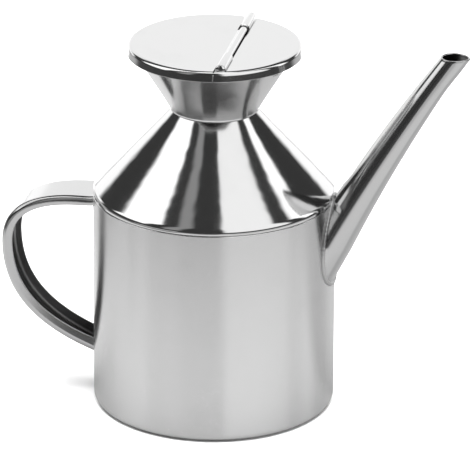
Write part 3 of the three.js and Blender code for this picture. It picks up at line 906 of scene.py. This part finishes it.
class Path:
    """Smooth curves in the XZ plane by length, run on straight past both ends."""

    def __init__(self, *curves):
        t = np.linspace(0, 1, CURVE_STEPS)[:, None]
        lines = []
        for a, b, c, d in np.array(curves):
            lines.append(a * (1 - t) ** 3 + 3 * b * t * (1 - t) ** 2 + 3 * c * t**2 * (1 - t) + d * t**3)
        self.line = np.concatenate([lines[0], *[line[1:] for line in lines[1:]]])
        steps = np.linalg.norm(np.diff(self.line, axis=0), axis=1)
        self.lengths = np.concatenate(([0.0], np.cumsum(steps)))
        self.length = self.lengths[-1]
        self.ways = np.gradient(self.line, self.lengths, axis=0)

    def at(self, s):
        """Points, directions and shares of the whole length, at lengths s."""
        inside = np.clip(s, 0, self.length)
        point = np.stack([np.interp(inside, self.lengths, self.line[:, k]) for k in (0, 1)], -1)
        way = np.stack([np.interp(inside, self.lengths, self.ways[:, k]) for k in (0, 1)], -1)
        way = way / np.linalg.norm(way, axis=-1, keepdims=True)
        return point + (s - inside)[..., None] * way, way, inside / self.length

    def lay(self, s, across, inward):
        """Points beside the line, across it along Y and inward square to it."""
        point, way, _ = self.at(s)
        x = point[..., 0] - way[..., 1] * inward
        z = point[..., 1] + way[..., 0] * inward
        return np.stack([x, across, z], -1)


class SpoutTube:
    """The spout's oval tube by length and by angle round it."""

    def __init__(self, size, vessel):
        self.size = size
        self.tip_height = HINGE.z - HINGE_RISE + size.tip_above
        foot = np.array((vessel.cup_radius, vessel.cup_height - size.foot_drop))
        tip = np.array((vessel.cup_radius + size.reach, self.tip_height))
        pull = np.linalg.norm(tip - foot) / 3
        leave = np.array((math.cos(size.foot_rise), math.sin(size.foot_rise)))
        arrive = np.array((math.cos(size.tip_rise), math.sin(size.tip_rise)))
        self.path = Path((foot, foot + pull * leave, tip - pull * arrive, tip))

    def surface(self, s, angle, grow):
        size = self.size
        along = np.clip(s / self.path.length, 0, 1)
        half_width = (size.foot_width + (size.tip_width - size.foot_width) * along) / 2 + grow
        half_depth = (size.foot_depth + (size.tip_depth - size.foot_depth) * along) / 2 + grow
        near_tip = np.clip(1 - (self.path.length - s) / size.lip_length, 0, 1)
        lip = size.lip * near_tip**2 * (3 - 2 * near_tip)
        inward = half_depth * np.sin(angle) - lip * np.maximum(0, -np.sin(angle)) ** LIP_POWER
        return self.path.lay(s, half_width * np.cos(angle), inward)


class HandleChannel:
    """The handle's channel by length along its outer face, one point for each corner of its section."""

    def __init__(self, size, vessel):
        wall = -vessel.cup_radius
        out = wall - size.reach
        top = vessel.cup_height - size.top_drop
        bend_height = top - size.bend_drop
        bend = (out, bend_height)
        upper = (
            (wall, top),
            (wall - size.top_run, top - size.top_fall),
            (out, bend_height + size.bend_up),
            bend,
        )
        lower = (
            bend,
            (out, bend_height - size.bend_down),
            (wall - size.bottom_run, size.bottom_height + size.bottom_climb),
            (wall, size.bottom_height),
        )
        self.path = Path(upper, lower)
        self.top = channel_section(size, size.top_width / 2, size.top_depth)
        self.bottom = channel_section(size, size.bottom_width / 2, size.bottom_depth)

    def surface(self, s):
        _, _, along = self.path.at(s)
        across, inward = (self.top + (self.bottom - self.top) * along[:, None]).T
        return self.path.lay(s, across, inward)


def channel_section(size, half, deep):
    """The channel's outline as points across and inward."""
    tip = size.sheet / 3
    inside = size.corner - size.sheet

    def side(radius, inward):
        lean = size.side_lean
        return half - size.corner + radius / math.cos(lean) - (inward - size.corner) * math.tan(lean)

    corners = [
        (-side(size.corner, deep), deep, tip),
        (-side(size.corner, 0.0), 0.0, size.corner),
        (side(size.corner, 0.0), 0.0, size.corner),
        (side(size.corner, deep), deep, tip),
        (side(inside, deep), deep, tip),
        (side(inside, size.sheet), size.sheet, inside),
        (-side(inside, size.sheet), size.sheet, inside),
        (-side(inside, deep), deep, tip),
    ]
    return np.array(rounded(corners, closed=True))


def outside_vessel(vessel, points):
    """How far points lie outside the cup and the shoulder's cone."""
    radius = np.hypot(points[..., 0], points[..., 1])
    cone = (points[..., 2] - shoulder_height(vessel, radius)) * math.cos(vessel.shoulder_slope)
    return np.maximum(radius - vessel.cup_radius, cone)


def crossing(count, low, high, measure):
    """Lengths where a rising measure passes zero, one for each of a count of lines."""
    low = np.full(count, float(low))
    high = np.full(count, float(high))
    for _ in range(HALVINGS):
        middle = (low + high) / 2
        above = measure(middle) > 0
        high = np.where(above, middle, high)
        low = np.where(above, low, middle)
    return (low + high) / 2


def lofted(name, rings, material, capped=False, **attributes):
    """A closed mesh through rings of points, with values kept on its points."""
    sides = len(rings[0])
    count = len(rings)
    faces = []
    for k in range(count - 1 if capped else count):
        below = k * sides
        above = (k + 1) % count * sides
        for j in range(sides):
            beside = (j + 1) % sides
            faces.append((below + j, below + beside, above + beside, above + j))
    if capped:
        faces.append(tuple(range(sides - 1, -1, -1)))
        faces.append(tuple(range((count - 1) * sides, count * sides)))
    piece = new_piece(name, np.concatenate(rings), (), faces)
    for key, values in attributes.items():
        attribute = piece.data.attributes.new(key, "FLOAT", "POINT")
        attribute.data.foreach_set("value", np.concatenate(values).astype(np.float32))
    paint(piece, material)
    return settle(piece)


def make_spout(size, vessel, material):
    tube = SpoutTube(size, vessel)
    full = tube.path.length
    angle = np.linspace(0, math.tau, SPOUT_SIDES, endpoint=False)
    edge = size.sheet / 2
    sunk = vessel.cup_sheet * FOOT_SINK
    walls = []
    for grow in (0.0, -size.sheet):
        start = crossing(
            SPOUT_SIDES,
            -full / 2,
            full / 2,
            lambda s: outside_vessel(vessel, tube.surface(s, angle, grow)) + sunk,
        )
        end = crossing(
            SPOUT_SIDES,
            full / 2,
            full * 1.5,
            lambda s: tube.surface(s, angle, grow)[..., 2] - tube.tip_height + edge,
        )
        lengths = [start + (end - start) * k for k in np.linspace(0, 1, SPOUT_STATIONS)]
        walls.append([(tube.surface(s, angle, grow), s) for s in lengths])
    outer, inner = walls
    middle = (outer[-1][0] + inner[-1][0]) / 2
    lip = []
    for k in range(1, SPOUT_LIP_STEPS):
        roll = math.pi * k / SPOUT_LIP_STEPS
        ring = middle + (outer[-1][0] - middle) * math.cos(roll)
        ring[..., 2] += edge * math.sin(roll)
        lip.append((ring, outer[-1][1]))
    rings, along = zip(*outer, *lip, *inner[::-1])
    across = [angle * size.foot_width / 2] * len(rings)
    # Painted shade: the inner wall takes the darker inside tone, with more roughness.
    unpolished = [np.zeros(SPOUT_SIDES)] * (len(outer) + len(lip)) + [np.ones(SPOUT_SIDES)] * len(inner)
    return lofted("spout_tube", rings, material, along=along, across=across, unpolished=unpolished)


def make_handle(size, vessel, material):
    channel = HandleChannel(size, vessel)
    full = channel.path.length
    wall = vessel.cup_radius - vessel.cup_sheet / 2
    section = channel.top
    count = len(section)

    def outside(s):
        points = channel.surface(s)
        return np.hypot(points[:, 0], points[:, 1]) - wall

    start = crossing(count, -size.top_width / 2, size.top_width / 2, outside)
    end = crossing(count, full - size.top_width, full + size.top_width, lambda s: -outside(s))
    lengths = [start + (end - start) * k for k in np.linspace(0, 1, HANDLE_STATIONS)]
    rings = [channel.surface(s) for s in lengths]
    round_way = np.concatenate(([0.0], np.cumsum(np.linalg.norm(np.diff(section, axis=0), axis=1))))
    across, inward = section.T
    # Painted shade: the sides take part of the darker inside tone and the channel's inside all of it, with
    # more roughness.
    skin = size.sheet * INSIDE_START
    unpolished = np.where(inward > size.corner * SIDE_START, SIDE_RAWNESS_AND_SHADE, 0.0)
    unpolished[(np.abs(across) < size.top_width / 2 - skin) & (inward > skin)] = 1.0
    return lofted(
        "handle_channel",
        rings,
        material,
        capped=True,
        along=lengths,
        across=[round_way] * len(rings),
        unpolished=[unpolished] * len(rings),
    )


# Welds

TAPER_POWER = 4
WANDER_SCALE = 700.0
WANDER_SHARE = 1.5


def bead_modifier():
    """A weld bead along the piece's own line, with ripples and, on a short bead, drawn-in ends."""
    made = NodeModifier(
        "Weld Bead",
        {
            "Radius": "NodeSocketFloat",
            "Ripple": "NodeSocketFloat",
            "Depth": "NodeSocketFloat",
            "Taper": "NodeSocketFloat",
            "Material": "NodeSocketMaterial",
        },
    )
    graph = made.graph
    curve = graph.add("GeometryNodeMeshToCurve", inputs={0: made.input("Geometry")})
    factor = graph.add("GeometryNodeSplineParameter")
    run = factor.of("Length")
    to_end = (factor * 2 - 1).math("ABSOLUTE")
    drawn_in = 1 - made.input("Taper") * to_end**TAPER_POWER
    phase = run / made.input("Ripple") * math.tau
    wander = graph.noise(graph.add("GeometryNodeInputPosition"), WANDER_SCALE) - 0.5
    swell = 1 + made.input("Depth") * (phase.math("SINE") + WANDER_SHARE * wander)
    profile = graph.add("GeometryNodeCurvePrimitiveCircle", inputs={0: BEAD_SIDES, "Radius": 1.0})
    bead = graph.add(
        "GeometryNodeCurveToMesh",
        inputs={0: curve, 1: profile, 2: made.input("Radius") * drawn_in * swell, "Fill Caps": True},
    )
    made.end(bead)
    return made


def make_bead(name, points, weld, kind, closed=False):
    """A bead along a line of points, with the weld sizes of one kind: spout, handle or tack."""
    edges = [(k, k + 1) for k in range(len(points) - 1)]
    if closed:
        edges.append((len(points) - 1, 0))
    bead = new_piece(name, points, edges)
    values = {key: getattr(weld, f"{kind}_{key.lower()}") for key in ("Radius", "Ripple", "Depth", "Taper")}
    bead_modifier().put_on(bead, Material=stainless("Weld Bead"), **values)
    return settle(bead)


def spout_foot(size, vessel, grow):
    """Points round the spout's foot, on the cup and shoulder."""
    tube = SpoutTube(size, vessel)
    reach = tube.path.length / 2
    angle = np.linspace(0, math.tau, 2 * SPOUT_SIDES, endpoint=False)
    start = crossing(
        2 * SPOUT_SIDES,
        -reach,
        reach,
        lambda s: outside_vessel(vessel, tube.surface(s, angle, grow)) - grow,
    )
    return tube.surface(start, angle, grow)


def handle_end(node, vessel, rise):
    """Points across one end of the handle, just off the cup's wall."""
    low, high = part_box(node)
    middle = (low.z + high.z) / 2
    across = np.linspace(low.y, high.y, BEAD_STATIONS)
    wall = -np.sqrt((vessel.cup_radius + rise) ** 2 - across**2)
    return [(x, y, middle) for x, y in zip(wall, across)]


def tack_line(node, weld):
    """Points along a tack, round the edge of the lid."""
    low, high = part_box(node)
    middle = (low + high) / 2
    direction = math.atan2(middle.y, middle.x)
    radius = math.hypot(middle.x, middle.y)
    spread = np.linspace(-1, 1, BEAD_STATIONS) * weld.tack_reach / radius + direction
    return [(radius * math.cos(a), radius * math.sin(a), middle.z + weld.tack_rise) for a in spread]


# Operators


class CRUET_OT_vessel(bpy.types.Operator):
    """Make the cup, the conical shoulder and the funnel"""

    bl_idname = "cruet.vessel"
    bl_label = "Cup, Shoulder and Funnel"

    def execute(self, context):
        size = context.scene.cruet_vessel
        fit(make_cup(size, stainless("Satin Cup")), "vessel", "satin_steel", "body_cup")
        fit(make_shoulder(size, stainless("Mirror Sheet")), "vessel", "mirror_steel", "shoulder_cone")
        fit(make_funnel(size, stainless("Brushed Funnel")), "vessel", "mirror_steel", "filler_funnel")
        return {"FINISHED"}


class CRUET_OT_lid(bpy.types.Operator):
    """Make the two halves of the lid and the wire of its hinge"""

    bl_idname = "cruet.lid"
    bl_label = "Lid and Hinge"

    def execute(self, context):
        size = context.scene.cruet_lid
        vessel = context.scene.cruet_vessel
        fit(make_flap(size, vessel, stainless("Lid Sheet")), "lid", "lid_steel", "lid_flap")
        fit(make_plate(size, vessel, stainless("Lid Sheet")), "vessel", "lid_steel", "lid_fixed_plate")
        fit(make_wire(size, stainless("Drawn Wire")), "lid", "wire_steel", "hinge_wire")
        return {"FINISHED"}


class CRUET_OT_spout(bpy.types.Operator):
    """Make the tapered spout"""

    bl_idname = "cruet.spout"
    bl_label = "Spout"

    def execute(self, context):
        scene = context.scene
        spout = make_spout(scene.cruet_spout, scene.cruet_vessel, stainless("Spout Polish"))
        fit(spout, "vessel", "spout_steel", "spout")
        return {"FINISHED"}


class CRUET_OT_handle(bpy.types.Operator):
    """Make the channel handle"""

    bl_idname = "cruet.handle"
    bl_label = "Handle"

    def execute(self, context):
        scene = context.scene
        handle = make_handle(scene.cruet_handle, scene.cruet_vessel, stainless("Handle Polish"))
        fit(handle, "vessel", "handle_steel", "handle")
        return {"FINISHED"}


class CRUET_OT_welds(bpy.types.Operator):
    """Make the weld beads of the spout, the handle and the lid"""

    bl_idname = "cruet.welds"
    bl_label = "Welds"

    def execute(self, context):
        scene = context.scene
        weld = scene.cruet_weld
        vessel = scene.cruet_vessel
        foot = spout_foot(scene.cruet_spout, vessel, weld.spout_rise)
        bead = make_bead("spout_weld_bead", foot, weld, "spout", closed=True)
        fit(bead, "vessel", "weld_steel", "spout_weld")
        for node in ("handle_weld_upper", "handle_weld_lower"):
            bead = make_bead(f"{node}_bead", handle_end(node, vessel, weld.handle_rise), weld, "handle")
            fit(bead, "vessel", "weld_steel", node)
        for node in ("lid_tack_front", "lid_tack_rear"):
            bead = make_bead(f"{node}_bead", tack_line(node, weld), weld, "tack")
            fit(bead, "vessel", "weld_steel", node)
        return {"FINISHED"}


# Stage

CAMERA_PLACE = Vector((325.0, -1612.0, 733.7)) * MM
CAMERA_AIM = Vector((6.6, 4.65, 60.25)) * MM
CAMERA_ROLL = 0.0053
FRONT_AZIMUTH = math.radians(11.4)
SENSOR_WIDTH = 36.0
CLIP_START = 0.01
CLIP_END = 50.0

FLOOR_RADIUS = 6.0
FLOOR_STEPS = 96
FLOOR_ROUGHNESS = 0.9
FLOOR_GLOSS = 0.2
CLOUD_SCALE = 3.0
CLOUD_SHARE = 0.4
CLOUD_TONE = 0.985
FILL_WIDTH = 1.6
FILL_HEIGHT = 1.5

# Distances from the cruet at which the table's tones change
TABLE_HEIGHT = 0.2 * MM
TABLE_EDGE = 0.04
BACK_START = 0.25
LEFT_REACH = 0.6
RIGHT_REACH = 0.12
NEAR_REACH = 0.24
RING_START = 0.23
RING_END = 0.42

# Azimuths from the front, in degrees, over which the table's tones come in and go out
LEFT_SIDE = ((-80, -65), (-38, -28))
RIGHT_SIDE = ((2, 8), (80, 90))
SHADED_SIDE = ((-84, -76), (-33, -27))
FAR_RIGHT = (80, 95)
FRONT_FADE = (110, 125)
BACK_FADE = (140, 156)
BEYOND_TONE = (0.03, 0.03, 0.03)

# Bright panels round the studio: from and to as azimuths from the front, from and to as heights, the
# brightness as a share of the panel strength and the softness of the upright edges, angles in degrees
PANELS = (
    ("left box", -109, -68, 15, 74, 1.0, 6),
    ("left screen", -50, -31, 10, 78, 0.21, 10),
    ("right wall", 10, 74, 6, 80, 0.76, 7),
    ("right strip", 92, 107, 6, 74, 1.0, 5),
    ("horizon right", 128, 185, -90, 13, 0.84, 8),
    ("horizon left", -185, -128, -90, 13, 0.84, 8),
    ("backdrop right", 140, 185, 0, 40, 0.72, 8),
    ("backdrop left", -185, -140, 0, 40, 0.72, 8),
)
PANEL_FOOT_SOFTNESS = 2
PANEL_HEAD_SOFTNESS = 3
ZENITH_EDGE = (73, 79)
ZENITH_SHARE = 1.0
ROOM_SHARE = 0.03


def make_camera(lens):
    data = bpy.data.cameras.new("photo_camera")
    data.lens = lens
    data.sensor_width = SENSOR_WIDTH
    data.clip_start = CLIP_START
    data.clip_end = CLIP_END
    camera = bpy.data.objects.new("photo_camera", data)
    bpy.context.scene.collection.objects.link(camera)
    camera.location = CAMERA_PLACE
    aim = (CAMERA_AIM - CAMERA_PLACE).to_track_quat("-Z", "Y")
    camera.rotation_euler = (aim @ Quaternion((0, 0, 1), CAMERA_ROLL)).to_euler()
    bpy.context.scene.camera = camera


def disc(name, height, colour):
    """A wide flat disc with a plain rough finish, for the stage."""
    material = bpy.data.materials.new(name)
    material.use_nodes = True
    graph = Graph(material.node_tree)
    values = {"Base Color": colour(graph), "Roughness": FLOOR_ROUGHNESS, "Specular IOR Level": FLOOR_GLOSS}
    shader = graph.add("ShaderNodeBsdfPrincipled", inputs=values)
    graph.add("ShaderNodeOutputMaterial", inputs={0: shader})
    rim = [(x, y, height) for x, y in circle(FLOOR_RADIUS, steps=FLOOR_STEPS)]
    made = new_piece(name, rim, (), [tuple(range(len(rim)))])
    made.data.materials.append(material)
    return made


def from_front(graph, place):
    """How far right of the front a place or direction lies, in degrees. The front is fixed in the frame."""
    x, y, _ = graph.split(place)
    right = x * math.cos(FRONT_AZIMUTH) + y * math.sin(FRONT_AZIMUTH)
    toward = x * math.sin(FRONT_AZIMUTH) - y * math.cos(FRONT_AZIMUTH)
    return right.math("ARCTAN2", toward) * math.degrees(1)


def make_floor(studio):
    """The pale floor as the eye sees it."""

    def colour(graph):
        cloud = graph.noise(graph.add("ShaderNodeTexCoord", output="Object"), CLOUD_SCALE)
        pale = studio.floor_tone
        return graph.blend(cloud * CLOUD_SHARE, opaque(pale), opaque(pale, CLOUD_TONE))

    disc("Pale Floor", 0.0, colour).visible_glossy = False


def make_table(studio):
    """Painted reflection of the floor, seen only by the steel: a darker grey copy of the floor with painted
    tones by distance and side, a painted shaded ring, and a dark room beyond its front edge.
    """

    def colour(graph):
        place = graph.add("ShaderNodeTexCoord", output="Object")
        x, y, _ = graph.split(place)
        radius = (x * x + y * y).math("SQRT")
        azimuth = from_front(graph, place)
        turned_off = azimuth.math("ABSOLUTE")
        away = graph.ease(radius, NEAR_REACH - TABLE_EDGE, NEAR_REACH + TABLE_EDGE)
        away = away.math("MAXIMUM", graph.ease(azimuth, *FAR_RIGHT))
        shade = graph.blend(away, opaque(studio.near_tone), opaque(studio.table_tone))
        ring = graph.band(radius, (RING_START, RING_START + TABLE_EDGE), (RING_END - TABLE_EDGE, RING_END))
        shaded = ring * graph.band(azimuth, *SHADED_SIDE)
        shade = graph.blend(shaded, shade, opaque(studio.dark_tone))
        behind = graph.ease(turned_off, *BACK_FADE)
        behind = behind * graph.ease(radius, BACK_START, BACK_START + 2 * TABLE_EDGE)
        shade = graph.blend(behind, shade, opaque(studio.floor_tone))
        left = graph.band(azimuth, *LEFT_SIDE)
        right = graph.band(azimuth, *RIGHT_SIDE)
        reach = studio.table_reach + left * LEFT_REACH + right * RIGHT_REACH
        beyond = graph.ease(radius - reach, -TABLE_EDGE, TABLE_EDGE)
        beyond = beyond * graph.ease(turned_off, *FRONT_FADE, 1.0, 0.0)
        return graph.blend(beyond, shade, opaque(BEYOND_TONE))

    table = disc("Grey Table", TABLE_HEIGHT, colour)
    table.visible_camera = False
    table.visible_diffuse = False
    table.visible_shadow = False


def make_world(strength):
    """A studio seen as directions: dark room, white horizon, bright panels and an overhead box."""
    world = bpy.data.worlds.new("Studio")
    world.use_nodes = True
    bpy.context.scene.world = world
    graph = Graph(world.node_tree)
    way = graph.add("ShaderNodeTexCoord", output="Generated")
    azimuth = from_front(graph, way)
    _, _, z = graph.split(way)
    height = z.math("ARCSINE") * math.degrees(1)
    light = graph.ease(height, *ZENITH_EDGE, ROOM_SHARE, ZENITH_SHARE)
    for _, start, end, low, high, brightness, soft in PANELS:
        half = soft / 2
        across = graph.band(azimuth, (start - half, start + half), (end - half, end + half))
        foot = (low - PANEL_FOOT_SOFTNESS, low + PANEL_FOOT_SOFTNESS)
        head = (high - PANEL_HEAD_SOFTNESS, high + PANEL_HEAD_SOFTNESS)
        light = light.math("MAXIMUM", across * graph.band(height, foot, head) * brightness)
    background = graph.add("ShaderNodeBackground", inputs={0: (1.0, 1.0, 1.0, 1.0), 1: light * strength})
    graph.add("ShaderNodeOutputWorld", inputs={0: background})


def make_fill(power):
    """A wide lamp overhead that lifts the floor and doesn't show in the steel."""
    data = bpy.data.lights.new("overhead_fill", "AREA")
    data.shape = "DISK"
    data.size = FILL_WIDTH
    data.energy = power
    lamp = bpy.data.objects.new("overhead_fill", data)
    bpy.context.scene.collection.objects.link(lamp)
    lamp.location = (0.0, 0.0, FILL_HEIGHT)
    lamp.visible_glossy = False


class CRUET_OT_stage(bpy.types.Operator):
    """Make the camera, the pale floor and the studio light"""

    bl_idname = "cruet.stage"
    bl_label = "Stage"

    def execute(self, context):
        studio = context.scene.cruet_studio
        context.scene.view_settings.view_transform = "Standard"
        make_camera(studio.camera_lens)
        make_floor(studio)
        make_table(studio)
        make_world(studio.panel_strength)
        make_fill(studio.fill_strength)
        return {"FINISHED"}


class CRUET_PT_panel(bpy.types.Panel):
    """The cruet's pieces, in the order in which they are made"""

    bl_label = "Oil Cruet"
    bl_idname = "CRUET_PT_panel"
    bl_space_type = "VIEW_3D"
    bl_region_type = "UI"
    bl_category = "Cruet"

    def draw(self, context):
        for operator in OPERATORS:
            self.layout.operator(operator.bl_idname)
        for name, group in GROUPS.items():
            settings = getattr(context.scene, name)
            box = self.layout.box()
            box.label(text=group.__doc__)
            for key in group.__annotations__:
                box.prop(settings, key)


GROUPS = {
    "cruet_vessel": VesselSizes,
    "cruet_lid": LidSizes,
    "cruet_spout": SpoutSizes,
    "cruet_handle": HandleSizes,
    "cruet_weld": WeldSizes,
    "cruet_finish": SteelFinish,
    "cruet_studio": StudioSettings,
}
OPERATORS = (
    CRUET_OT_stage,
    CRUET_OT_vessel,
    CRUET_OT_lid,
    CRUET_OT_spout,
    CRUET_OT_handle,
    CRUET_OT_welds,
)


def register():
    for made in (*GROUPS.values(), *OPERATORS, CRUET_PT_panel):
        bpy.utils.register_class(made)
    for name, group in GROUPS.items():
        setattr(bpy.types.Scene, name, bpy.props.PointerProperty(type=group))


def unregister():
    for name in GROUPS:
        delattr(bpy.types.Scene, name)
    for made in reversed((*GROUPS.values(), *OPERATORS, CRUET_PT_panel)):
        bpy.utils.unregister_class(made)


def main():
    register()
    bpy.ops.cruet.stage()
    bpy.ops.cruet.vessel()
    bpy.ops.cruet.lid()
    bpy.ops.cruet.spout()
    bpy.ops.cruet.handle()
    bpy.ops.cruet.welds()


if __name__ == "__main__":
    main()
